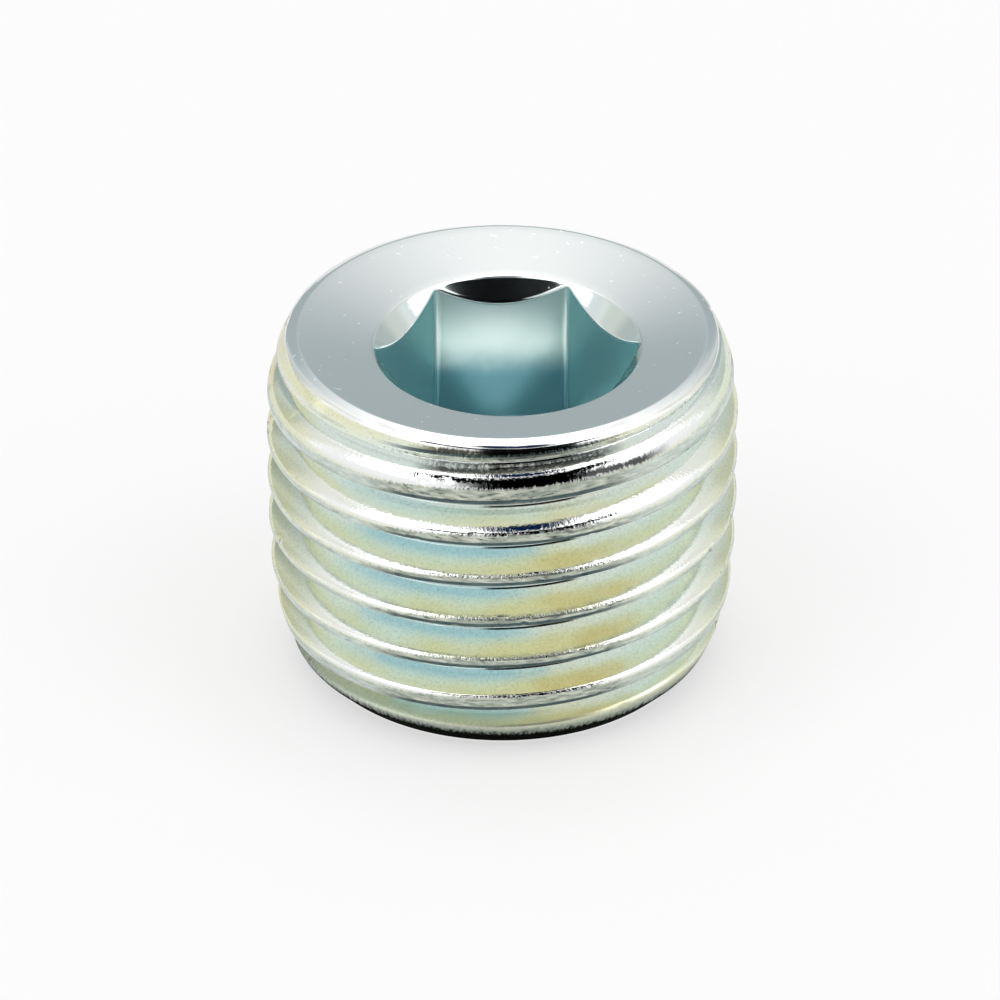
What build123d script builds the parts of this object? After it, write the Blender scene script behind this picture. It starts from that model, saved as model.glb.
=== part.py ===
from build123d import *
import os
from math import asin, atan, cos, degrees, radians, sqrt, tan

# Hex socket taper plug, size 1/4. Millimetres, +Z up. The axis is Z, the small end stands on Z = 0
# and the socket opens upwards at the large end. The plug is one solid.

# ---- blank -------------------------------------------------------------------------------------
length = 10.0                   # over both end faces
blank_diameter = 13.0           # cuts the upper crests wide and flat
small_end_lead = 3.5            # height over which the small end rounds in
small_end_round = 8.4           # radius of that rounding
small_end_chamfer = 0.6         # 45 degree chamfer below it
large_end_lead = 2.3            # height over which the large end rounds in
large_end_round = 4.5           # radius of that rounding
large_end_chamfer = 0.38        # how far the chamfer above it runs inwards
large_end_chamfer_rise = 0.30   # over this height

# ---- 55 degree taper pipe thread, right hand, 19 turns to the inch -----------------------------
pitch = 25.4 / 19
flank_angle = 27.5              # of each flank from square to the axis
taper = 1 / 16                  # of diameter over height
gauge_diameter = 13.157         # over full crests at the gauge plane
gauge_height = 6.0              # from the small end up to the gauge plane
thread_depth = 0.640327 * pitch
groove_floor = 0.2              # flat floor of the groove, about as wide as the full form's rounded root
groove_start = -1.14            # height of the groove's centre line on the +X side
groove_turns = 9                # enough to run out past both end faces
groove_overcut = 0.06           # reach of the cutting profile past the full crests

# ---- top face and socket -----------------------------------------------------------------------
dish_depth = 0.41               # the top face falls this far from its rim to the countersink
countersink_diameter = 7.4      # mouth of the 90 degree countersink
hex_across_flats = 6.35         # takes a 1/4 inch key
hex_depth = 5.0                 # from the rim down
pilot_diameter = 6.2            # drilled before the hexagon is pressed
pilot_depth = 5.0               # from the rim to the start of its drill point
drill_point_angle = 118.0


def rounding_fall(radius, run):
    """How far an arc that starts upright has moved inwards after this run of height."""
    return radius - sqrt(radius**2 - run**2)


def blank_profile():
    """Half section of the turned blank, on the YZ plane so that its seam is away from the groove's end."""
    outer = blank_diameter / 2
    small_run = small_end_lead - small_end_chamfer
    large_run = large_end_lead - large_end_chamfer_rise
    small_edge = outer - rounding_fall(small_end_round, small_run)
    large_edge = outer - rounding_fall(large_end_round, large_run)
    small_sweep = degrees(asin(small_run / small_end_round))
    large_sweep = degrees(asin(large_run / large_end_round))
    shoulder_z = length - large_end_lead
    mouth = countersink_diameter / 2
    mouth_z = length - dish_depth
    pilot = pilot_diameter / 2
    pilot_foot_z = length - pilot_depth
    tip_z = pilot_foot_z - pilot / tan(radians(drill_point_angle / 2))
    with BuildSketch(Plane.YZ) as section:
        with BuildLine():
            Polyline(
                (0, tip_z),
                (0, 0),
                (small_edge - small_end_chamfer, 0),
                (small_edge, small_end_chamfer),
            )
            CenterArc((outer - small_end_round, small_end_lead), small_end_round, -small_sweep, small_sweep)
            Line((outer, small_end_lead), (outer, shoulder_z))
            CenterArc((outer - large_end_round, shoulder_z), large_end_round, 0, large_sweep)
            Polyline(
                (large_edge, length - large_end_chamfer_rise),
                (large_edge - large_end_chamfer, length),
                (mouth, mouth_z),
                (pilot, mouth_z - (mouth - pilot)),
                (pilot, pilot_foot_z),
                (0, tip_z),
            )
        make_face()
    return section.sketch


def groove_profile():
    """Section of the thread groove where it starts: two flanks on a narrow floor."""
    crest = gauge_diameter / 2 + (groove_start - gauge_height) * taper / 2
    root = crest - thread_depth
    outer = crest + groove_overcut
    half_floor = groove_floor / 2
    half_mouth = half_floor + (outer - root) * tan(radians(flank_angle))
    with BuildSketch(Plane.XZ) as section:
        with BuildLine():
            Polyline(
                (root, groove_start - half_floor),
                (outer, groove_start - half_mouth),
                (outer, groove_start + half_mouth),
                (root, groove_start + half_floor),
                close=True,
            )
        make_face()
    return section.sketch, root


def thread_groove():
    """The whole groove, a right-hand helix on the 1 in 16 cone."""
    profile, root = groove_profile()
    path = Helix(
        pitch=pitch,
        height=pitch * groove_turns,
        radius=root,
        center=(0, 0, groove_start),
        cone_angle=degrees(atan(taper / 2)),
    )
    return sweep(profile, path=path, is_frenet=True)


def hex_socket():
    """The hexagon, with two of its corners on the X axis."""
    corner_radius = hex_across_flats / 2 / cos(radians(30))
    return Pos(0, 0, length - hex_depth) * extrude(RegularPolygon(corner_radius, 6), hex_depth)


def plug_body():
    """The plug: its thread is cut on a plain bar, then the ends and the socket are turned and pressed."""
    bar = extrude(Circle(blank_diameter / 2), length)
    turned_off = bar - revolve(blank_profile(), axis=Axis.Z)
    return bar - thread_groove() - turned_off - hex_socket()


os.makedirs("parts", exist_ok=True)
plug = plug_body()
export_step(plug, "parts/plug_body.step")
print("plug_body", "volume", round(plug.volume, 2), "valid", plug.is_valid, "solids", len(plug.solids()))
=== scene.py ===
"""Dresses a zinc plated hex socket taper plug: its thread, socket and plating, and a plain stage for it."""

import math

import bpy
from bpy.props import FloatProperty, FloatVectorProperty, IntProperty, PointerProperty
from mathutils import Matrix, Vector


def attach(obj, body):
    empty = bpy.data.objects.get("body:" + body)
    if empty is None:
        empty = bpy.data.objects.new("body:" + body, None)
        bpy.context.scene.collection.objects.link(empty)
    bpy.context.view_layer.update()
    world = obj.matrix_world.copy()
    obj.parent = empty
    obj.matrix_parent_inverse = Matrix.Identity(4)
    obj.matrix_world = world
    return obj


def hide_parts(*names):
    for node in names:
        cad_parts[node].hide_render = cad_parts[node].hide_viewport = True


bl_info = {
    "name": "Hex socket taper plug",
    "version": (1, 0, 0),
    "blender": (4, 5, 0),
    "location": "3D View > Sidebar > Plug",
    "description": "Builds a plated taper plug with a true helical thread, and a plain stage",
    "category": "Add Mesh",
}

MM = 0.001
FLANK = math.radians(27.5)  # of each flank of the thread, from square to the axis
TAPER = 1 / 16  # of diameter over height
DRILL_POINT = math.radians(118)  # across the cone at the bottom of the drilled hole
COUNTERSINK_SLOPE = 1.08  # how far the countersink falls for each unit inwards
# what the finish follows, kept on the body's points
MARKS = ("crest", "under", "edge", "on_wall", "inside", "rounding")

# node types and settings that the steps below use most
MAP, MIX, NOISE = "ShaderNodeMapRange", "ShaderNodeMix", "ShaderNodeTexNoise"
COLOUR = {"data_type": "RGBA"}
SOFT = {"interpolation_type": "SMOOTHSTEP"}
SEEDED = {"noise_dimensions": "4D"}  # W is the seed

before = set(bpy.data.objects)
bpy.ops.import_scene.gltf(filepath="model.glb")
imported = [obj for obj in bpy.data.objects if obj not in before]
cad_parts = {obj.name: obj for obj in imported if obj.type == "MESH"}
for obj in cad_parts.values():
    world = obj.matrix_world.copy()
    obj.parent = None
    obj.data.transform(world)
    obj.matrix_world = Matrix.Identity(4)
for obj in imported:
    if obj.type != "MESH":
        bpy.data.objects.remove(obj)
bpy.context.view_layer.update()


# ---- shared helpers ----------------------------------------------------------------------------
def linear(code):
    """A scene linear colour from an sRGB hex code."""
    parts = [int(code[i : i + 2], 16) / 255 for i in (1, 3, 5)]
    return [c / 12.92 if c <= 0.04045 else ((c + 0.055) / 1.055) ** 2.4 for c in parts]


def add(tree, kind, *values, **settings):
    """Adds a node, makes its settings, and gives its inputs a value or a link. Returns its first output.

    The values go to the inputs in order, and None leaves one alone. A dict goes to inputs by their
    identifier or name.
    """
    node = tree.nodes.new(kind)
    for name, setting in settings.items():
        setattr(node, name, setting)
    free = [s for s in node.inputs if s.enabled]
    pairs = list(zip(free, values))
    if values and isinstance(values[0], dict):
        pairs = [(next(s for s in free if key in (s.identifier, s.name)), v) for key, v in values[0].items()]
    for socket, value in pairs:
        if isinstance(value, bpy.types.NodeSocket):
            tree.links.new(value, socket)
        elif value is not None:
            socket.default_value = value
    return next((s for s in node.outputs if s.enabled), node)


def work_out(tree, steps, values):
    """Adds one node for each step, and keeps its output in values under the step's name.

    A step is its name, what it does, and what it takes. It does a Math operation or adds a node by type.
    It takes numbers and the names of earlier values, in order or as a dict by input, then any settings.
    """
    for name, kind, *terms in steps:
        settings = terms.pop() if len(terms) > 1 and isinstance(terms[0], dict) else {}
        if terms and isinstance(terms[0], dict):
            terms = [{k: values.get(t, t) if isinstance(t, str) else t for k, t in terms[0].items()}]
        else:
            terms = [values.get(t, t) if isinstance(t, str) else t for t in terms]
        if not kind.startswith(("Shader", "Geometry")):
            kind, settings = "ShaderNodeMath", {"operation": kind}
        values[name] = add(tree, kind, *terms, **settings)
    return values


def mesh_from(name, points, faces, material):
    """A plain mesh object in the scene."""
    mesh = bpy.data.meshes.new(name)
    mesh.from_pydata(points, [], faces)
    mesh.materials.append(material)
    obj = bpy.data.objects.new(name, mesh)
    bpy.context.scene.collection.objects.link(obj)
    return obj


# ---- sizes and colours a user would change -----------------------------------------------------
class PlugSizes(bpy.types.PropertyGroup):
    """The plug's sizes. Every length is in metres."""

    length: FloatProperty(name="Length", description="Over both end faces", default=10.0 * MM, unit="LENGTH")
    blank_radius: FloatProperty(
        name="Blank Radius", description="Of the cylinder that cuts the upper crests",
        default=6.5 * MM, unit="LENGTH"
    )
    foot_radius: FloatProperty(
        name="Foot Radius", description="Of the small end face", default=5.29 * MM, unit="LENGTH"
    )
    rim_radius: FloatProperty(
        name="Rim Radius", description="Of the large end's upper edge", default=5.638 * MM, unit="LENGTH"
    )
    small_lead: FloatProperty(
        name="Small End Lead", description="Height over which the small end rounds in",
        default=2.9 * MM, unit="LENGTH"
    )
    small_round: FloatProperty(
        name="Small End Round", description="Radius of that rounding", default=6.16 * MM, unit="LENGTH"
    )
    large_lead: FloatProperty(
        name="Large End Lead", description="Height over which the large end rounds in",
        default=2.3 * MM, unit="LENGTH"
    )
    large_round: FloatProperty(
        name="Large End Round", description="Radius of that rounding", default=4.5 * MM, unit="LENGTH"
    )
    chamfer_slope: FloatProperty(
        name="Top Chamfer Slope", description="How far the top chamfer runs out for each unit down",
        default=2.1
    )
    pitch: FloatProperty(
        name="Pitch", description="From crest to crest, 19 to the inch", default=25.4 / 19 * MM, unit="LENGTH"
    )
    groove_start: FloatProperty(
        name="Groove Start", description="Height of a groove's centre line on +X",
        default=-1.14 * MM, unit="LENGTH"
    )
    groove_floor: FloatProperty(
        name="Groove Floor", description="Half the width of a groove's floor",
        default=0.04 * MM, unit="LENGTH"
    )
    gauge_root: FloatProperty(
        name="Root Radius", description="At height 0, under the full thread depth",
        default=5.42 * MM, unit="LENGTH"
    )
    hex_flat: FloatProperty(
        name="Hexagon", description="From the axis to a flat of the socket", default=3.175 * MM, unit="LENGTH"
    )
    corner_radius: FloatProperty(
        name="Corner Radius", description="From the axis to a rounded corner of the socket",
        default=3.65 * MM, unit="LENGTH"
    )
    hex_depth: FloatProperty(
        name="Hexagon Depth", description="From the rim down", default=5.0 * MM, unit="LENGTH"
    )
    mouth_radius: FloatProperty(
        name="Mouth Radius", description="Of the countersink", default=3.7 * MM, unit="LENGTH"
    )
    dish_depth: FloatProperty(
        name="Dish Depth", description="From the rim down to the countersink",
        default=0.41 * MM, unit="LENGTH"
    )
    pilot_radius: FloatProperty(
        name="Pilot Radius", description="Of the drilled hole", default=3.1 * MM, unit="LENGTH"
    )
    pilot_depth: FloatProperty(
        name="Pilot Depth", description="From the rim to the drill point", default=5.02 * MM, unit="LENGTH"
    )
    off_centre: FloatVectorProperty(
        name="Off Centre", description="How far the press left the socket off the axis",
        size=2, default=(0.13 * MM, -0.12 * MM), unit="LENGTH"
    )
    unevenness: FloatProperty(
        name="Unevenness", description="Depth of the turned surface's waves", default=0.02 * MM, unit="LENGTH"
    )
    chip_depth: FloatProperty(
        name="Chip Depth", description="Of the worst chips in a crest", default=0.14 * MM, unit="LENGTH"
    )
    columns: IntProperty(
        name="Columns", description="Faces round the axis, a multiple of 6", default=300, min=24
    )
    pitch_rows: IntProperty(name="Rows a Pitch", description="Faces from crest to crest", default=28, min=6)


class PlateColours(bpy.types.PropertyGroup):
    """The colours that the plating shows, and the stage's."""

    clear: FloatVectorProperty(
        name="Clear Plate", description="Bright zinc with no film", subtype="COLOR", default=linear("#F0F2F1")
    )
    mint: FloatVectorProperty(
        name="Mint Film", description="Thin passivate film", subtype="COLOR", default=linear("#E3EFE8")
    )
    yellow: FloatVectorProperty(
        name="Yellow Film", description="Thicker film", subtype="COLOR", default=linear("#E6E7C8")
    )
    ochre: FloatVectorProperty(
        name="Ochre Film", description="Thickest film, in patches", subtype="COLOR", default=linear("#E0D9B0")
    )
    blue: FloatVectorProperty(
        name="Blue Film", description="Film beside the roots, in patches",
        subtype="COLOR", default=linear("#C3DFE3")
    )
    # Root: painted shade, the dark line under each crest where the groove lies in shadow; the film's fine
    # dark flecks use it too
    root: FloatVectorProperty(
        name="Root", description="Thin dark plate along the crests' lower edges",
        subtype="COLOR", default=linear("#24434C")
    )
    crest: FloatVectorProperty(
        name="Crest", description="Drawn skin of the bar under the plate",
        subtype="COLOR", default=linear("#D4D9CA")
    )
    worn: FloatVectorProperty(
        name="Worn Crest", description="Film on the crests where the skin is worn off",
        subtype="COLOR", default=linear("#DAE4DC")
    )
    crest_grey: FloatVectorProperty(
        name="Crest Grey", description="The skin's greyer streaks", subtype="COLOR", default=linear("#9CA59A")
    )
    # Tick: also the painted dark reflection in front of the rim
    tick: FloatVectorProperty(
        name="Tick", description="Torn marks in the skin", subtype="COLOR", default=linear("#2B2C2E")
    )
    countersink: FloatVectorProperty(
        name="Countersink", description="Duller plate in the countersink",
        subtype="COLOR", default=linear("#D3DDDD")
    )
    socket_top: FloatVectorProperty(
        name="Socket Film", description="Film on the socket's walls near its mouth",
        subtype="COLOR", default=linear("#EAF3EF")
    )
    # painted shade: the socket's film darkened and blued deep in the recess
    socket_low_shaded: FloatVectorProperty(
        name="Deep Socket Film", description="Film deep in the socket",
        subtype="COLOR", default=linear("#6E9BA7")
    )
    socket_side: FloatVectorProperty(
        name="Side Socket Film", description="Film on the socket's walls left and right",
        subtype="COLOR", default=linear("#A6D9DC")
    )
    pilot: FloatVectorProperty(
        name="Pilot", description="Thin plate in the drilled hole", subtype="COLOR", default=linear("#DFEBE9")
    )
    # Foot: painted shade, the contact shadow that the small end's chamfer mirrors
    foot: FloatVectorProperty(
        name="Foot", description="Scuffed band round the small end",
        subtype="COLOR", default=linear("#1E1F18")
    )
    foot_film: FloatVectorProperty(
        name="Foot Film", description="Dull film above that band", subtype="COLOR", default=linear("#D6D9B6")
    )
    floor: FloatVectorProperty(
        name="Floor", description="Stage floor", subtype="COLOR", default=linear("#F4F4F4")
    )


# ---- the turned section inside the thread ------------------------------------------------------
def rounded(name, corner, before, after, reach, rows):
    """A corner of the section taken off by a small curve, as stations of the section."""
    start = corner + (before - corner).normalized() * reach
    end = corner + (after - corner).normalized() * reach
    stations = [(name + " Start", rows, start)]
    for i in (1, 2, 3):
        t = i / 4
        point = start * (1 - t) ** 2 + corner * (2 * t * (1 - t)) + end * t**2
        stations.append((f"{name} {i}", 1, point))
    stations.append((name + " End", 1, end))
    return stations


def section(s):
    """Stations of the turned section as name, rows of faces up to it, and (radius, height).

    The section starts at the centre of the small end, skips the threaded wall, and ends at the drill point.
    """
    foot, foot_out = Vector((s.foot_radius, 0)), Vector((s.foot_radius + s.pitch, s.pitch))
    rim = Vector((s.rim_radius, s.length))
    rim_out = Vector((s.rim_radius + s.chamfer_slope * s.pitch, s.length - s.pitch))
    mouth = Vector((s.mouth_radius, s.length - s.dish_depth))
    neck = Vector((s.pilot_radius, mouth.y - (s.mouth_radius - s.pilot_radius) * COUNTERSINK_SLOPE))
    socket_foot = s.length - s.hex_depth
    pilot_foot = s.length - s.pilot_depth
    below = [("Centre", 0, Vector((0, 0))), ("Foot Inner", 3, Vector((s.foot_radius * 0.7, 0)))]
    below += rounded("Foot Edge", foot, Vector((0, 0)), foot_out, 0.06 * MM, 3)
    above = rounded("Rim Edge", rim, rim_out, mouth, 0.05 * MM, 0)
    above += rounded("Mouth Edge", mouth, rim, neck, 0.05 * MM, 8)
    above += [
        ("Neck", 18, neck),
        ("Socket Foot", 10, Vector((s.pilot_radius, socket_foot))),
        ("Socket Floor", 3, Vector((s.pilot_radius, socket_foot - 0.001 * MM))),
        ("Pilot Foot", 2, Vector((s.pilot_radius, pilot_foot))),
        ("Drill Point", 6, Vector((0, pilot_foot - s.pilot_radius / math.tan(DRILL_POINT / 2)))),
    ]
    return below, above


# ---- the threaded body -------------------------------------------------------------------------
# The threaded wall at each point of the sheet. A phase is a share of the pitch.
WALL_STEPS = (
    ("column", "DIVIDE", "index", "all_rows"),
    ("column", "FLOOR", "column"),
    ("row", "MULTIPLY", "column", "all_rows"),
    ("row", "SUBTRACT", "index", "row"),
    ("turn", "DIVIDE", "column", "Columns"),
    ("angle", "MULTIPLY", "turn", math.tau),
    ("cosine", "COSINE", "angle"),
    ("sine", "SINE", "angle"),
    # height: the rows follow the helix, and are held at the two ends
    ("step", "SUBTRACT", "row", "first_wall_row"),
    ("step", "DIVIDE", "step", "Rows a Pitch"),
    ("step", "ADD", "step", "turn"),
    ("step", "SUBTRACT", "step", 1.0),
    ("level", "MULTIPLY", "step", "Pitch"),
    ("level", "MAXIMUM", "level", "Foot Edge End Height"),
    ("level", "MINIMUM", "level", "Rim Edge Start Height"),
    # where on the bar, in millimetres: one noise for its waves, one for chips in its edges
    ("across", "MULTIPLY", "cosine", 6.5),
    ("along", "MULTIPLY", "sine", 6.5),
    ("up", "DIVIDE", "level", MM),
    ("spot", "ShaderNodeCombineXYZ", "across", "along", "up"),
    ("wave", NOISE, {"Vector": "spot", "Scale": 0.9, "Detail": 3.0}),
    ("wave", "MULTIPLY", "wave", "Unevenness"),
    ("chip", NOISE, {"Vector": "spot", "Scale": 2.2, "Detail": 1.0}),
    ("chip", "SUBTRACT", "chip", 0.66),
    ("chip", "MAXIMUM", "chip", 0.0),
    ("chip", "DIVIDE", "chip", 0.2),
    ("chip", "MULTIPLY", "chip", "Chip Depth"),
    # how far from the centre line of the nearest groove, rounded in the middle of a ridge
    ("large", MAP, {"Value": "level", "From Min": 6.9 * MM, "From Max": 8.6 * MM}),
    ("early", MAP, {"Value": "level", "From Min": 7.9 * MM, "From Max": 8.6 * MM, "To Max": -0.06 * MM}),
    ("phase", "SUBTRACT", "level", "Groove Start"),
    ("phase", "ADD", "phase", "early"),
    ("phase", "DIVIDE", "phase", "Pitch"),
    ("phase", "SUBTRACT", "phase", "turn"),
    ("near", "ROUND", "phase"),
    ("phase", "SUBTRACT", "phase", "near"),
    ("edge", "ABSOLUTE", "phase"),
    ("away", "MULTIPLY", "edge", "Pitch"),
    ("over", "SUBTRACT", "Pitch", "away"),
    ("away", "SMOOTH_MIN", "away", "over", 0.45 * MM),
    # a ridge: how far past its middle; its upper side stands out a little, most of all near the large
    # end, and its lower side is cut back
    ("past", "SIGN", "phase"),
    ("past", "MULTIPLY_ADD", "past", -0.5, "phase"),
    ("upper", MAP, {"Value": "past", "From Min": -0.12, "From Max": 0.12}),
    ("lift", MIX, {"Factor": "large", "A": 0.03 * MM, "B": 0.17 * MM}),
    ("tuck", MAP, {"Value": "level", "From Min": 1.5 * MM, "From Max": 3.6 * MM, "To Max": -0.115 * MM}),
    ("tuck", MIX, {"Factor": "large", "A": "tuck", "B": -0.05 * MM}),
    ("lift", MIX, {"Factor": "upper", "A": "tuck", "B": "lift"}),
    ("reach", MIX, {"Factor": "upper", "A": 0.45, "B": 0.1}),
    ("blend", MAP, {"Value": "edge", "From Max": "reach"}),
    ("away", "MULTIPLY_ADD", "lift", "blend", "away"),
    # the groove: two flanks at 27.5 degrees on a narrow floor, on a 1 in 16 cone
    ("root", "MULTIPLY_ADD", "level", TAPER / 2, "Root Radius"),
    ("rise", "SUBTRACT", "away", "Groove Floor"),
    ("rise", "MULTIPLY_ADD", "rise", 1 / math.tan(FLANK), "root"),
    ("thread", "SMOOTH_MAX", "rise", "root", 0.06 * MM),
    # the blank: a cylinder that rounds in at both ends, slimmer towards the small one, with waves and
    # chips, and a chamfer at each end
    ("run", "SUBTRACT", "Small End Lead", "level"),
    ("run", "MAXIMUM", "run", 0.0),
    ("run", "MULTIPLY", "run", "run"),
    ("ball", "MULTIPLY", "Small End Round", "Small End Round"),
    ("run", "SUBTRACT", "ball", "run"),
    ("run", "SQRT", "run"),
    ("fall", "SUBTRACT", "Small End Round", "run"),
    ("blank", "SUBTRACT", "Blank Radius", "fall"),
    ("run", "SUBTRACT", "Length", "Large End Lead"),
    ("run", "SUBTRACT", "level", "run"),
    ("run", "MAXIMUM", "run", 0.0),
    ("run", "MULTIPLY", "run", "run"),
    ("ball", "MULTIPLY", "Large End Round", "Large End Round"),
    ("run", "SUBTRACT", "ball", "run"),
    ("run", "SQRT", "run"),
    ("fall", "SUBTRACT", "Large End Round", "run"),
    ("blank", "SUBTRACT", "blank", "fall"),
    ("slim", "SUBTRACT", 4.5 * MM, "level"),
    ("slim", "MAXIMUM", "slim", 0.0),
    ("blank", "MULTIPLY_ADD", "slim", -0.05, "blank"),
    ("blank", "SUBTRACT", "blank", "wave"),
    ("blank", "SUBTRACT", "blank", "chip"),
    ("bevel", "ADD", "level", "Foot Radius"),
    ("blank", "SMOOTH_MIN", "blank", "bevel", 0.06 * MM),
    ("bevel", "SUBTRACT", "Length", "level"),
    ("bevel", "MULTIPLY_ADD", "bevel", "Top Chamfer Slope", "Rim Radius"),
    # the upper side rolls over to the crest, most of all near the large end, and the lower one hardly;
    # aside is 0 in front and behind, and 1 at the left and right
    ("aside", "MULTIPLY", "cosine", "cosine"),
    (
        "roll", MAP,
        {
            "Value": "level", "From Min": 4.4 * MM, "From Max": 6.0 * MM,
            "To Min": 0.05 * MM, "To Max": 0.15 * MM,
        },
    ),
    ("roll", "MULTIPLY_ADD", "aside", 0.6 * MM, "roll"),
    ("blunt", MAP, {"Value": "level", "From Min": 1.2 * MM, "From Max": 1.8 * MM, "To Min": 0.04}),
    ("roll", "MULTIPLY", "roll", "blunt"),
    ("roll", MIX, {"Factor": "large", "A": "roll", "B": 1.0 * MM}),
    ("roll", MIX, {"Factor": "upper", "A": 0.06 * MM, "B": "roll"}),
    ("rolled", "ADD", "blank", 0.05 * MM),
    ("rolled", "SMOOTH_MIN", "thread", "rolled", "roll"),
    ("wall", "SMOOTH_MIN", "rolled", "blank", 0.03 * MM),
    ("wall", "SMOOTH_MIN", "wall", "bevel", 0.10 * MM),
    ("proud", "SUBTRACT", "thread", "blank"),
    # how far onto the crest, where the skin of the bar is left, in fiftieths of a pitch, and less far at
    # the rim
    ("limit", MAP, {"Value": "aside", "From Min": 0.04, "From Max": 0.35, "To Min": 0.17, "To Max": 0.08}),
    ("rim", MAP, {"Value": "level", "From Min": 9.2 * MM, "From Max": 9.4 * MM, "To Max": -0.36}),
    ("limit", "ADD", "limit", "rim"),
    ("crest", "SUBTRACT", "limit", "past"),
    ("crest", "DIVIDE", "crest", 0.02),
    ("cut", "MULTIPLY_ADD", "proud", 1 / (0.05 * MM), 0.4),
    ("cut", "MULTIPLY_ADD", "upper", 40.0, "cut"),
    ("crest", "MINIMUM", "crest", "cut"),
    ("crest", "MAXIMUM", "crest", -16.0),
    ("crest", "MINIMUM", "crest", 16.0),
    # how far above a crest's lower edge, in fiftieths of a pitch: that edge comes nearest the ridge's
    # middle 4.6 mm up
    ("bend", "SUBTRACT", "level", 4.6 * MM),
    ("bend", "DIVIDE", "bend", MM),
    ("steep", MAP, {"Value": "bend", "From Min": -0.5, "From Max": 0.5, "To Min": 0.017, "To Max": 0.0078}),
    ("bend", "MULTIPLY", "bend", "bend"),
    ("bend", "MULTIPLY", "bend", "steep"),
    ("under", "ADD", "past", 0.023),
    ("under", "ADD", "under", "bend"),
    ("under", "DIVIDE", "under", 0.02),
    ("cut", "DIVIDE", "proud", 0.025 * MM),
    ("cut", "MULTIPLY_ADD", "upper", 40.0, "cut"),
    ("under", "MINIMUM", "under", "cut"),
    # where the upper side rolls over, in front and behind
    ("rounding", "DIVIDE", "proud", "roll"),
    ("rounding", "MULTIPLY_ADD", "rounding", 2.0, 1.7),
    ("rounding", "MINIMUM", "rounding", 1.0),
    ("rounding", "MAXIMUM", "rounding", 0.0),
    ("here", MAP, {"Value": "past", "From Min": 0.06, "From Max": 0.16}),
    ("rounding", "MULTIPLY", "rounding", "here"),
    ("here", MAP, {"Value": "aside", "From Min": 0.62, "From Max": 0.88, "To Min": 1.0, "To Max": 0.0}),
    ("rounding", "MULTIPLY", "rounding", "here"),
    # the hexagon's wall seen from the axis, its corners a little rounded
    ("side", "MULTIPLY_ADD", "turn", 6.0, 0.5),
    ("side", "FRACT", "side"),
    ("side", "SUBTRACT", "side", 0.5),
    ("side", "ABSOLUTE", "side"),
    ("side", "SUBTRACT", 0.5, "side"),
    ("side", "MULTIPLY", "side", math.pi / 3),
    ("side", "COSINE", "side"),
    ("hexagon", "DIVIDE", "Hexagon", "side"),
    ("hexagon", "SMOOTH_MIN", "hexagon", "Corner Radius", 0.03 * MM),
)

# Once the turned section's radius and height are known at each row.
JOIN_STEPS = (
    # the socket: the hexagon is pressed out to its wall down to its floor
    ("above", "GREATER_THAN", "row", "last_wall_row"),
    ("pressed", "SMOOTH_MAX", "radius", "hexagon", 0.06 * MM),
    ("pressed", "SUBTRACT", "pressed", "radius"),
    ("deep", "SUBTRACT", "floor_row", "row"),
    ("deep", "DIVIDE", "deep", 3.0),
    ("deep", "MINIMUM", "deep", 1.0),
    ("deep", "MAXIMUM", "deep", 0.0),
    ("socket", "MULTIPLY", "deep", "above"),
    # inside: on the hexagon's wall and below it, and not on the countersink
    ("inside", "SUBTRACT", "hexagon", "radius"),
    ("inside", "DIVIDE", "inside", 0.04 * MM),
    ("inside", "MINIMUM", "inside", 1.0),
    ("inside", "MAXIMUM", "inside", 0.0),
    ("inside", "MULTIPLY", "inside", "above"),
    ("radius", "MULTIPLY_ADD", "socket", "pressed", "radius"),
    # the threaded wall lies between the two ends
    ("on_wall", "GREATER_THAN", "row", "first_wall_row"),
    ("on_wall", "SUBTRACT", "on_wall", "above"),
    ("radius", MIX, {"Factor": "on_wall", "A": "radius", "B": "wall"}),
    ("height", MIX, {"Factor": "on_wall", "A": "height", "B": "level"}),
    # the socket stands a little off the axis, and the end face takes that up
    ("shift", "SUBTRACT", "row", "rim_row"),
    ("shift", "DIVIDE", "shift", 8.0),
    ("shift", "MINIMUM", "shift", 1.0),
    ("shift", "MAXIMUM", "shift", 0.0),
    ("shift_x", "MULTIPLY", "shift", "Off Centre X"),
    ("shift_y", "MULTIPLY", "shift", "Off Centre Y"),
    ("x", "MULTIPLY_ADD", "radius", "cosine", "shift_x"),
    ("y", "MULTIPLY_ADD", "radius", "sine", "shift_y"),
    ("place", "ShaderNodeCombineXYZ", "x", "y", "height"),
)


def tree_inputs(sizes, stations):
    """Every named input of the body's tree with its value: the sizes, then the stations of the section."""
    values = {}
    for key in PlugSizes.__annotations__:
        name, value = PlugSizes.bl_rna.properties[key].name, getattr(sizes, key)
        if key == "off_centre":
            values[name + " X"], values[name + " Y"] = value
        else:
            values[name] = value
    for name, _rows, point in stations:
        values[name + " Radius"], values[name + " Height"] = point
    return values


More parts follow.
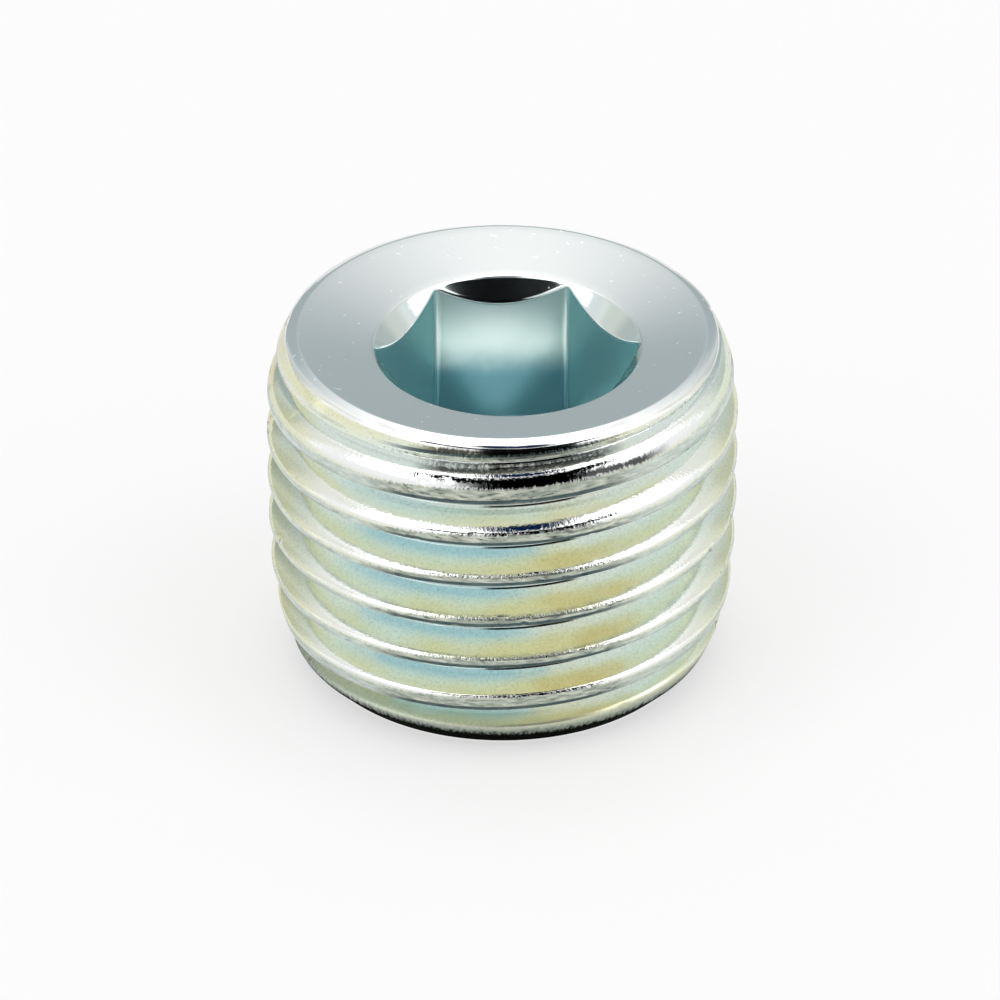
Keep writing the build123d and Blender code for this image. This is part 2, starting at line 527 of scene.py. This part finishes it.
def plug_tree(inputs, below, above, wall_rows):
    """The tree that wraps one sheet of faces round the axis into the whole body."""
    tree = bpy.data.node_groups.new("Threaded Plug", "GeometryNodeTree")
    tree.interface.new_socket("Geometry", in_out="OUTPUT", socket_type="NodeSocketGeometry")
    for name, value in inputs.items():
        kind = {int: "NodeSocketInt", float: "NodeSocketFloat"}.get(type(value), "NodeSocketMaterial")
        tree.interface.new_socket(name, in_out="INPUT", socket_type=kind)
    entry = tree.nodes.new("NodeGroupInput")
    v = {s.name: s for s in entry.outputs if s.name}

    rows_below = sum(rows for _name, rows, _point in below)
    v["first_wall_row"] = float(rows_below)
    v["last_wall_row"] = rows_below + wall_rows - 0.5
    all_rows = rows_below + wall_rows + sum(rows for _name, rows, _point in above) + 1
    v["all_rows"] = float(all_rows)
    v["index"] = add(tree, "GeometryNodeInputIndex")
    columns = add(tree, "ShaderNodeMath", v["Columns"], 1.0, operation="ADD")
    sheet = add(tree, "GeometryNodeMeshGrid", 1.0, 1.0, columns, all_rows)
    work_out(tree, WALL_STEPS, v)

    # radius and height of the turned section at each row, from station to station
    v["radius"], v["height"] = v["Centre Radius"], v["Centre Height"]
    last, done = "Centre", 0
    for name, rows, _point in below[1:] + above:
        if name == "Rim Edge Start":
            rows = wall_rows
        if name == "Socket Floor":
            v["floor_row"] = done + 3.0
        work_out(
            tree,
            (
                ("share", "SUBTRACT", "row", float(done)),
                ("share", "DIVIDE", "share", float(rows)),
                ("share", "MINIMUM", "share", 1.0),
                ("share", "MAXIMUM", "share", 0.0),
                ("change", "SUBTRACT", name + " Radius", last + " Radius"),
                ("radius", "MULTIPLY_ADD", "share", "change", "radius"),
                ("change", "SUBTRACT", name + " Height", last + " Height"),
                ("height", "MULTIPLY_ADD", "share", "change", "height"),
            ),
            v,
        )
        done += rows
        if name == "Rim Edge End":
            v["rim_row"] = float(done)
        last = name
    work_out(tree, JOIN_STEPS, v)

    store = {"data_type": "FLOAT", "domain": "POINT"}
    for name in MARKS:
        sheet = add(tree, "GeometryNodeStoreNamedAttribute", sheet, None, name, v[name], **store)
    body = add(tree, "GeometryNodeSetPosition", sheet, None, v["place"])
    body = add(tree, "GeometryNodeMergeByDistance", body, None, 0.0004 * MM)
    body = add(tree, "GeometryNodeSetShadeSmooth", body, None, True)
    body = add(tree, "GeometryNodeRealizeInstances", body)
    body = add(tree, "GeometryNodeSetMaterial", body, None, v["Plating"])
    end = tree.nodes.new("NodeGroupOutput")
    tree.links.new(body, end.inputs[0])
    return tree


class PLUG_OT_body(bpy.types.Operator):
    """Build the threaded body with its socket"""

    bl_idname = "plug.body"
    bl_label = "Threaded Body"

    def execute(self, context):
        sizes = context.scene.plug_sizes
        below, above = section(sizes)
        wall_rows = math.ceil(sizes.pitch_rows * (sizes.length / sizes.pitch + 1))
        inputs = tree_inputs(sizes, below + above)
        inputs["Plating"] = plating_material(context.scene.plate_colours, sizes.off_centre)
        tree = plug_tree(inputs, below, above, wall_rows)
        mesh = bpy.data.meshes.new("threaded_plug")
        obj = bpy.data.objects.new("threaded_plug", mesh)
        context.scene.collection.objects.link(obj)
        modifier = obj.modifiers.new("Threaded Plug", "NODES")
        modifier.node_group = tree
        for item in tree.interface.items_tree:
            if item.in_out == "INPUT":
                modifier[item.identifier] = inputs[item.name]
        made = bpy.data.meshes.new_from_object(obj.evaluated_get(context.evaluated_depsgraph_get()))
        obj.modifiers.remove(modifier)
        obj.data = made
        made.name = "threaded_plug"
        if not made.polygons:
            raise RuntimeError("the threaded body came out empty")
        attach(obj, "root")
        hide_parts("plug_body")
        return {"FINISHED"}


# ---- plating -----------------------------------------------------------------------------------
# Steps of the plate's material. Lengths are in millimetres, and angles go round from the front, in
# radians. A pattern of lobes goes round the plug, and is loosened by the haze.
PLATING_STEPS = (
    ("minus_y", "MULTIPLY", "y", -1.0),
    ("angle", "ARCTAN2", "x", "minus_y"),
    # soft clouds 2 mm across, drawn streaks 0.09 mm wide and a grain of 0.07 mm: both are finer on the
    # real plate, and are as coarse here as they need to be to show
    ("cloud", NOISE, {"Vector": "mm", "Scale": 0.5, "Detail": 2.0}),
    ("haze", NOISE, {"Vector": "mm", "W": 7.0, "Scale": 0.8, "Detail": 3.0}, SEEDED),
    ("drawn", "ShaderNodeVectorMath", {"Vector": "mm", "Vector_001": (1, 1, 0.3)}, {"operation": "MULTIPLY"}),
    ("streak", NOISE, {"Vector": "drawn", "Scale": 12.0, "Detail": 3.0}),
    (
        "drag", "ShaderNodeVectorMath",
        {"Vector": "mm", "Vector_001": (0.8, 0.8, 4.0)}, {"operation": "MULTIPLY"},
    ),
    ("dragged", NOISE, {"Vector": "drag", "Scale": 3.0, "Detail": 3.0}),
    ("grain", NOISE, {"Vector": "mm", "Scale": 14.0, "Detail": 2.0}),
    ("speck", NOISE, {"Vector": "mm", "W": 3.0, "Scale": 6.0, "Detail": 0.0}, SEEDED),
    # the film: mint in a root and yellower towards a crest, in four lobes round the plug
    ("lobe", "MULTIPLY_ADD", "angle", 4.0, math.radians(-40)),
    ("lobe", "COSINE", "lobe"),
    ("thick", "MULTIPLY", "edge", 2.4),
    ("thick", "MULTIPLY_ADD", "lobe", 0.22, "thick"),
    ("thick", "MULTIPLY_ADD", "cloud", 1.3, "thick"),
    ("thick", MAP, {"Value": "thick", "From Min": 0.65, "From Max": 1.65}, SOFT),
    ("film", MIX, {"Factor": "thick", "A": "Mint Film", "B": "Yellow Film"}, COLOUR),
    # three ochre patches in the middle of a flank
    ("lobe", "MULTIPLY_ADD", "angle", 3.0, math.radians(-60)),
    ("lobe", "COSINE", "lobe"),
    ("lobe", "MULTIPLY_ADD", "haze", 1.6, "lobe"),
    ("patch", MAP, {"Value": "lobe", "From Min": 1.4, "From Max": 2.1}, SOFT),
    ("band", MAP, {"Value": "edge", "From Min": 0.10, "From Max": 0.24}, SOFT),
    ("patch", "MULTIPLY", "patch", "band"),
    ("film", MIX, {"Factor": "patch", "A": "film", "B": "Ochre Film"}, COLOUR),
    # clear plate mixed in down in a root: painted light that lifts the groove's shade
    ("band", MAP, {"Value": "edge", "From Min": 0.18, "From Max": 0.05, "To Max": 0.5}),
    ("film", MIX, {"Factor": "band", "A": "film", "B": "Clear Plate"}, COLOUR),
    # three blue patches beside a root, not near the large end
    ("lobe", "MULTIPLY_ADD", "angle", 3.0, math.radians(62)),
    ("lobe", "COSINE", "lobe"),
    ("lobe", "MULTIPLY_ADD", "haze", 1.6, "lobe"),
    ("patch", MAP, {"Value": "lobe", "From Min": 0.6, "From Max": 1.5, "To Max": 0.8}, SOFT),
    ("band", MAP, {"Value": "edge", "From Min": 0.23, "From Max": 0.07}, SOFT),
    ("patch", "MULTIPLY", "patch", "band"),
    ("band", MAP, {"Value": "z", "From Min": 8.0, "From Max": 7.4}),
    ("patch", "MULTIPLY", "patch", "band"),
    ("film", MIX, {"Factor": "patch", "A": "film", "B": "Blue Film"}, COLOUR),
    # fine dark flecks in the film, and clear plate where a ridge rolls over: a painted highlight, in front
    # and behind
    ("fleck", MAP, {"Value": "grain", "From Min": 0.48, "From Max": 0.78, "To Max": 0.17}),
    ("film", MIX, {"Factor": "fleck", "A": "film", "B": "Root"}, COLOUR),
    ("film", MIX, {"Factor": "rounding", "A": "film", "B": "Clear Plate"}, COLOUR),
    # the crests: the bar's skin, streaked, and torn where it ends; it is worn off between three lobes
    ("lobe", "MULTIPLY_ADD", "angle", 3.0, math.radians(9)),
    ("lobe", "COSINE", "lobe"),
    ("kept", MAP, {"Value": "lobe", "From Min": -0.5, "From Max": 0.2}, SOFT),
    ("ragged", "MULTIPLY_ADD", "streak", 7.0, "crest"),
    # painted black that stands in for the dark reflection in front of the rim, ragged like torn marks
    ("scuff", "MULTIPLY_ADD", "crest", 1.0, 4.2),
    ("scuff", "ABSOLUTE", "scuff"),
    ("scuff", "MULTIPLY_ADD", "streak", 9.0, "scuff"),
    ("scuff", MAP, {"Value": "scuff", "From Min": 9.2, "From Max": 6.0, "To Max": 0.92}),
    ("skinned", MAP, {"Value": "ragged", "From Min": 2.9, "From Max": 4.9}),
    ("grey", MAP, {"Value": "dragged", "From Min": 0.36, "From Max": 0.62}),
    ("skin", MIX, {"Factor": "grey", "A": "Crest", "B": "Crest Grey"}, COLOUR),
    ("torn", NOISE, {"Vector": "drag", "Scale": 5.0, "Detail": 3.0}),
    ("torn", "MULTIPLY_ADD", "haze", 0.35, "torn"),
    ("torn", MAP, {"Value": "torn", "From Min": 0.74, "From Max": 0.90, "To Max": 0.8}),
    ("skin", MIX, {"Factor": "torn", "A": "skin", "B": "Tick"}, COLOUR),
    ("grey", "MULTIPLY", "grey", 0.4),
    ("worn", MIX, {"Factor": "grey", "A": "Worn Crest", "B": "Crest Grey"}, COLOUR),
    ("skin", MIX, {"Factor": "kept", "A": "worn", "B": "skin"}, COLOUR),
    ("thread", MIX, {"Factor": "skinned", "A": "film", "B": "skin"}, COLOUR),
    # a line along a crest's lower edge: painted shade of the groove under the crest in the lobes, and a
    # painted highlight at the left and right
    ("line", "MULTIPLY_ADD", "haze", 1.2, "under"),
    ("line", MAP, {"Value": "line", "From Min": 4.8, "From Max": 3.8, "To Max": 0.85}),
    ("here", MAP, {"Value": "lobe", "From Min": -0.31, "From Max": 0.41}, SOFT),
    ("aside", "SINE", "angle"),
    ("aside", "ABSOLUTE", "aside"),
    ("aside", MAP, {"Value": "aside", "From Min": 0.72, "From Max": 0.9, "To Max": 0.9}),
    ("here", "MAXIMUM", "here", "aside"),
    ("line", "MULTIPLY", "line", "here"),
    ("here", MAP, {"Value": "under", "From Min": -0.3, "From Max": 0.3}),
    ("line", "MULTIPLY", "line", "here"),
    ("bare", MIX, {"Factor": "aside", "A": "Root", "B": "Clear Plate"}, COLOUR),
    ("thread", MIX, {"Factor": "line", "A": "thread", "B": "bare"}, COLOUR),
    # the rim and the ridge below it are painted black in front, above their crests: a painted dark
    # reflection, ragged with torn marks
    ("high", MAP, {"Value": "z", "From Min": 8.4, "From Max": 8.6}),
    ("scuff", "MULTIPLY", "scuff", "high"),
    (
        "front", MAP,
        {
            "Value": "z", "From Min": 9.1, "From Max": 9.3,
            "To Min": math.radians(-13), "To Max": math.radians(-2),
        },
    ),
    ("front", "ADD", "front", "angle"),
    ("front", "COSINE", "front"),
    ("front", MAP, {"Value": "front", "From Min": 0.86, "From Max": 0.93}),
    ("scuff", "MULTIPLY", "scuff", "front"),
    ("thread", MIX, {"Factor": "scuff", "A": "thread", "B": "Tick"}, COLOUR),
    # the foot: a dull olive film that greys downwards, and a dark band at its edge, painted shade for the
    # floor's contact shadow that the small end mirrors
    ("olive", "MULTIPLY_ADD", "haze", 0.5, "z"),
    ("olive", MAP, {"Value": "olive", "From Min": 1.45, "From Max": 1.20, "To Max": 0.85}),
    ("dull_film", "MULTIPLY_ADD", "streak", 0.3, "z"),
    ("dull_film", MAP, {"Value": "dull_film", "From Min": 1.12, "From Max": 0.88}),
    ("dull_film", MIX, {"Factor": "dull_film", "A": "Foot Film", "B": "Crest Grey"}, COLOUR),
    ("thread", MIX, {"Factor": "olive", "A": "thread", "B": "dull_film"}, COLOUR),
    ("foot", "MULTIPLY_ADD", "streak", 0.45, "z"),
    ("foot", MAP, {"Value": "foot", "From Min": 0.99, "From Max": 0.73, "To Max": 0.96}, SOFT),
    ("thread", MIX, {"Factor": "foot", "A": "thread", "B": "Foot"}, COLOUR),
    # the top: clear plate down over the chamfer, whose lower edge is ragged
    ("ragged", "MULTIPLY_ADD", "streak", 0.12, "z"),
    ("top", MAP, {"Value": "ragged", "From Min": 9.82, "From Max": 9.88}),
    ("below", "SUBTRACT", 1.0, "top"),
    ("threaded", "MULTIPLY", "on_wall", "below"),
    # the socket: film pale near the mouth and dark at depth, the dark being painted shade of the recess, and
    # green on the walls at the left and right, which lie more than 30 degrees off the front and back
    ("depth", "MULTIPLY_ADD", "haze", 0.8, "z"),
    ("depth", MAP, {"Value": "depth", "From Min": 7.0, "From Max": 8.3}, SOFT),
    ("hole", MIX, {"Factor": "depth", "A": "Deep Socket Film", "B": "Socket Film"}, COLOUR),
    ("from_x", "SUBTRACT", "x", "centre_x"),
    ("from_y", "SUBTRACT", "y", "centre_y"),
    ("flat", "DIVIDE", "from_x", "from_y"),
    ("flat", "ABSOLUTE", "flat"),
    ("flat", MAP, {"Value": "flat", "From Min": 0.57, "From Max": 0.63}),
    ("hole", MIX, {"Factor": "flat", "A": "hole", "B": "Side Socket Film"}, COLOUR),
    ("bottom", MAP, {"Value": "z", "From Min": 5.3, "From Max": 4.9}),
    ("hole", MIX, {"Factor": "bottom", "A": "hole", "B": "Pilot"}, COLOUR),
    # the countersink: duller plate within 3.7 of the socket's axis, by the square of the distance
    ("from_x", "MULTIPLY", "from_x", "from_x"),
    ("sunk", "MULTIPLY_ADD", "from_y", "from_y", "from_x"),
    ("sunk", MAP, {"Value": "sunk", "From Min": 13.9, "From Max": 13.4}),
    ("colour", MIX, {"Factor": "sunk", "A": "Clear Plate", "B": "Countersink"}, COLOUR),
    ("colour", MIX, {"Factor": "inside", "A": "colour", "B": "hole"}, COLOUR),
    ("colour", MIX, {"Factor": "threaded", "A": "colour", "B": "thread"}, COLOUR),
    # how matt: glossy on roundings, dull on the skin, and duller on the foot
    ("rough", MIX, {"Factor": "rounding", "A": 0.14, "B": 0.06}),
    ("rough", MIX, {"Factor": "skinned", "A": "rough", "B": 0.34}),
    ("rough", MIX, {"Factor": "olive", "A": "rough", "B": 0.5}),
    # the top is bright but for a few matt specks, and the socket less so
    ("speck", MAP, {"Value": "speck", "From Min": 0.76, "From Max": 0.80}),
    ("speck", "SUBTRACT", "speck", "inside"),
    ("speck", "MAXIMUM", "speck", 0.0),
    ("smooth", MIX, {"Factor": "inside", "A": 0.10, "B": 0.20}),
    ("smooth", "MULTIPLY_ADD", "speck", 0.3, "smooth"),
    ("rough", MIX, {"Factor": "threaded", "A": "smooth", "B": "rough"}),
    # the foot's band of painted shade stays dark at grazing angles too, and the socket's thicker film is less
    # of a metal
    ("glance", MIX, {"Factor": "foot", "A": "Clear Plate", "B": "Foot"}, COLOUR),
    ("metal", "MULTIPLY_ADD", "inside", -0.3, 1.0),
    # height of the streaks and the grain
    ("weight", "MULTIPLY_ADD", "skinned", 0.75, 0.12),
    ("weight", "MULTIPLY_ADD", "rounding", 0.45, "weight"),
    ("weight", "MULTIPLY", "weight", "threaded"),
    ("weight", "MULTIPLY_ADD", "top", 0.04, "weight"),
    ("relief", "MULTIPLY_ADD", "grain", 0.3, "streak"),
    ("relief", "MULTIPLY", "relief", "weight"),
)


def plating_material(colours, off_centre):
    """Barrel zinc plate with a clear passivate: bright metal under a film that shows faint colours.

    The film gives pale blue, mint, yellow and ochre where its thickness changes, and the crests keep
    the bar's dull skin.
    """
    material = bpy.data.materials.new("zinc plate, clear passivate")
    material.use_nodes = True
    tree = material.node_tree
    tree.nodes.clear()
    names = {key: PlateColours.bl_rna.properties[key].name for key in PlateColours.__annotations__}
    v = {name: (*getattr(colours, key), 1) for key, name in names.items()}
    v["centre_x"], v["centre_y"] = [c / MM for c in off_centre]
    for name in MARKS:
        v[name] = add(tree, "ShaderNodeAttribute", attribute_name=name).node.outputs["Fac"]
    place = add(tree, "ShaderNodeTexCoord").node.outputs["Object"]
    v["mm"] = add(tree, "ShaderNodeVectorMath", {"Vector": place, "Scale": 1 / MM}, operation="SCALE")
    v["x"], v["y"], v["z"] = add(tree, "ShaderNodeSeparateXYZ", v["mm"]).node.outputs
    work_out(tree, PLATING_STEPS, v)
    bump = add(tree, "ShaderNodeBump", {"Strength": 1.0, "Distance": 0.012 * MM, "Height": v["relief"]})
    shader = add(
        tree,
        "ShaderNodeBsdfPrincipled",
        {
            "Base Color": v["colour"], "Metallic": v["metal"], "Roughness": v["rough"], "Normal": bump,
            "Specular Tint": v["glance"],
        },
    )
    add(tree, "ShaderNodeOutputMaterial", shader)
    return material


# ---- the stage ---------------------------------------------------------------------------------
VIEW_AZIMUTH, VIEW_ELEVATION = -2.9, 32.1
CAMERA_DISTANCE = 0.3
CAMERA_TARGET = Vector((0, 0, 4.5 * MM))
CAMERA_SIDESTEP = Vector((-0.064 * MM, 0, 0))
CARD_DISTANCE = 0.5
FLOOR_REACH = 0.8
PAPER_GLOW = 0.6  # share of the floor's own white where it is looked at
LAMP_SIZE, LAMP_POWER = 0.36, 0.50
LAMPS = (("left softbox", -62, 50), ("right softbox", 72, 50), ("back softbox", 180, 74))


def toward(azimuth, elevation, distance=CARD_DISTANCE):
    """A point this far from the plug. Azimuth goes round from the front, and both angles are in degrees."""
    a, e = math.radians(azimuth), math.radians(elevation)
    return Vector((math.sin(a) * math.cos(e), -math.cos(a) * math.cos(e), math.sin(e))) * distance


def card(name, low, high, elevations, material):
    """A card bent round the plug, which only its mirror sees.

    It goes from one elevation to the other, and from the azimuths at its low end to those at its high end.
    """
    rows, columns = 12, 16
    points, faces = [], []
    for row in range(rows + 1):
        share = (row / rows) ** 2
        ends = [a + (b - a) * share for a, b in zip(low, high)]
        elevation = elevations[0] + (elevations[1] - elevations[0]) * row / rows
        for column in range(columns + 1):
            points.append(toward(ends[0] + (ends[1] - ends[0]) * column / columns, elevation))
            if row and column:
                corner = len(points) - 1
                faces.append((corner, corner - 1, corner - columns - 2, corner - columns - 1))
    obj = mesh_from(name, points, faces, material)
    obj.visible_camera = False
    obj.visible_shadow = False
    obj.visible_diffuse = False


def card_material(name, colour):
    """A card that shows one even colour, however it is lit."""
    material = bpy.data.materials.new(name)
    material.use_nodes = True
    tree = material.node_tree
    tree.nodes.clear()
    add(tree, "ShaderNodeOutputMaterial", add(tree, "ShaderNodeEmission", (*colour, 1), 1.0))
    return material


# The far card's colour by place, as shares of its distance. It is grey low down in the middle and
# white round that. Its two ends are dim, and dimmer at the back.
FAR_CARD_STEPS = (
    ("up", MAP, {"Value": "z", "From Min": 0.40, "From Max": 0.86}),
    ("up", "POWER", "up", 2.0),
    ("aside", "ABSOLUTE", "x"),
    ("out", MAP, {"Value": "aside", "From Min": 0.46, "From Max": 0.74}, SOFT),
    ("white", "ADD", "up", "out"),
    ("white", "MINIMUM", "white", 1.0),
    ("colour", MIX, {"Factor": "white", "A": "grey", "B": "pale"}, COLOUR),
    ("back", "MULTIPLY_ADD", "y", -1.2, "aside"),
    ("back", MAP, {"Value": "back", "From Min": 0.72, "From Max": 0.5}),
    ("end", MAP, {"Value": "aside", "From Min": 0.54, "From Max": 0.64}),
    ("end", "MULTIPLY", "end", "back"),
    ("far", MAP, {"Value": "y", "From Min": 0.42, "From Max": 0.60}, SOFT),
    ("dim", MIX, {"Factor": "far", "A": "dim", "B": "dimmer"}, COLOUR),
    ("colour", MIX, {"Factor": "end", "A": "colour", "B": "dim"}, COLOUR),
)


def far_material(name, grey, pale, dim, dimmer):
    """A card that goes softly from grey to white, and is dim at its two ends."""
    material = bpy.data.materials.new(name)
    material.use_nodes = True
    tree = material.node_tree
    tree.nodes.clear()
    place = add(tree, "ShaderNodeTexCoord").node.outputs["Object"]
    reach = {"Vector": place, "Scale": 1 / CARD_DISTANCE}
    share = add(tree, "ShaderNodeVectorMath", reach, operation="SCALE")
    v = {"grey": (*grey, 1), "pale": (*pale, 1), "dim": (*dim, 1), "dimmer": (*dimmer, 1)}
    v["x"], v["y"], v["z"] = add(tree, "ShaderNodeSeparateXYZ", share).node.outputs
    work_out(tree, FAR_CARD_STEPS, v)
    add(tree, "ShaderNodeOutputMaterial", add(tree, "ShaderNodeEmission", v["colour"], 1.0))
    return material


def looked_at(tree):
    """1 for what the camera sees, straight, in a mirror or through glass, and 0 for light on the plug."""
    path = add(tree, "ShaderNodeLightPath").node
    straight, mirrored = path.outputs["Is Camera Ray"], path.outputs["Is Glossy Ray"]
    seen = add(tree, "ShaderNodeMath", straight, mirrored, operation="MAXIMUM")
    return add(tree, "ShaderNodeMath", seen, path.outputs["Is Transmission Ray"], operation="MAXIMUM")


class PLUG_OT_stage(bpy.types.Operator):
    """Set the floor, the lights, the cards and the camera"""

    bl_idname = "plug.stage"
    bl_label = "Stage"

    def execute(self, context):
        scene = context.scene
        colours = scene.plate_colours
        # rolled paper has no gloss, so the floor shows nothing but the plug's soft shadow
        paper = bpy.data.materials.new("matt white paper")
        paper.use_nodes = True
        tree = paper.node_tree
        tree.nodes.clear()
        glow = add(tree, "ShaderNodeMath", looked_at(tree), PAPER_GLOW, operation="MULTIPLY")
        matt = add(tree, "ShaderNodeBsdfDiffuse", (*colours.floor, 1))
        white = add(tree, "ShaderNodeEmission", (1, 1, 1, 1), 1.0)
        add(tree, "ShaderNodeOutputMaterial", add(tree, "ShaderNodeMixShader", glow, matt, white))
        r = FLOOR_REACH
        floor = mesh_from("floor", [(-r, -r, 0), (r, -r, 0), (r, r, 0), (-r, r, 0)], [(0, 1, 2, 3)], paper)

        # what the bright plate mirrors: dark felt in front and above, which has no gloss of its own, and
        # a card behind
        black = card_material("black felt", linear("#040506"))
        navy = card_material("navy felt", linear("#0A2040"))
        grey = far_material(
            "grey card",
            grey=(0.43, 0.49, 0.51), pale=(1.2, 1.2, 1.2), dim=(0.88, 0.88, 0.82), dimmer=(0.64, 0.67, 0.65),
        )
        card("front card", (-14, 33), (-16, 42), (2, 47), black)
        card("upper front card", (-58, 62), (-58, 62), (46, 61), black)
        card("ceiling card", (-14, 45), (-90, 90), (65, 86), navy)
        card("far side card", (100, 260), (100, 260), (-2, 60), grey)

        world = bpy.data.worlds.new("soft tent")
        world.use_nodes = True
        tree = world.node_tree
        tree.nodes.clear()
        strength = add(tree, MAP, {"Value": looked_at(tree), "To Min": 0.62, "To Max": 1.0})
        back = add(tree, "ShaderNodeBackground", (1, 1, 1, 1), strength)
        add(tree, "ShaderNodeOutputWorld", back)
        scene.world = world

        for name, azimuth, elevation in LAMPS:
            lamp = bpy.data.lights.new(name, "AREA")
            lamp.shape, lamp.size, lamp.energy = "SQUARE", LAMP_SIZE, LAMP_POWER
            obj = bpy.data.objects.new(name, lamp)
            obj.location = toward(azimuth, elevation)
            obj.rotation_mode = "QUATERNION"
            obj.rotation_quaternion = obj.location.to_track_quat("Z", "Y")
            scene.collection.objects.link(obj)

        lens = bpy.data.cameras.new("camera")
        lens.lens, lens.sensor_width = 390, 36
        lens.clip_start, lens.clip_end = 0.01, 10
        camera = bpy.data.objects.new("camera", lens)
        back_way = toward(VIEW_AZIMUTH, VIEW_ELEVATION, 1)
        turn = back_way.to_track_quat("Z", "Y")
        camera.location = CAMERA_TARGET + back_way * CAMERA_DISTANCE + turn @ CAMERA_SIDESTEP
        camera.rotation_mode = "QUATERNION"
        camera.rotation_quaternion = turn
        scene.collection.objects.link(camera)
        scene.camera = camera
        scene.view_settings.view_transform = "Standard"
        return {"FINISHED"}


class PLUG_PT_panel(bpy.types.Panel):
    """The plug's sizes, colours and steps"""

    bl_label = "Hex Socket Plug"
    bl_idname = "PLUG_PT_panel"
    bl_space_type = "VIEW_3D"
    bl_region_type = "UI"
    bl_category = "Plug"

    def draw(self, context):
        for kind in (PLUG_OT_body, PLUG_OT_stage):
            self.layout.operator(kind.bl_idname)
        for group in (context.scene.plug_sizes, context.scene.plate_colours):
            for key in group.__annotations__:
                self.layout.prop(group, key)


CLASSES = (PlugSizes, PlateColours, PLUG_OT_body, PLUG_OT_stage, PLUG_PT_panel)


def register():
    for kind in CLASSES:
        bpy.utils.register_class(kind)
    bpy.types.Scene.plug_sizes = PointerProperty(type=PlugSizes)
    bpy.types.Scene.plate_colours = PointerProperty(type=PlateColours)


def unregister():
    del bpy.types.Scene.plate_colours
    del bpy.types.Scene.plug_sizes
    for kind in reversed(CLASSES):
        bpy.utils.unregister_class(kind)


def main():
    register()
    bpy.ops.plug.body()
    bpy.ops.plug.stage()


if __name__ == "__main__":
    main()
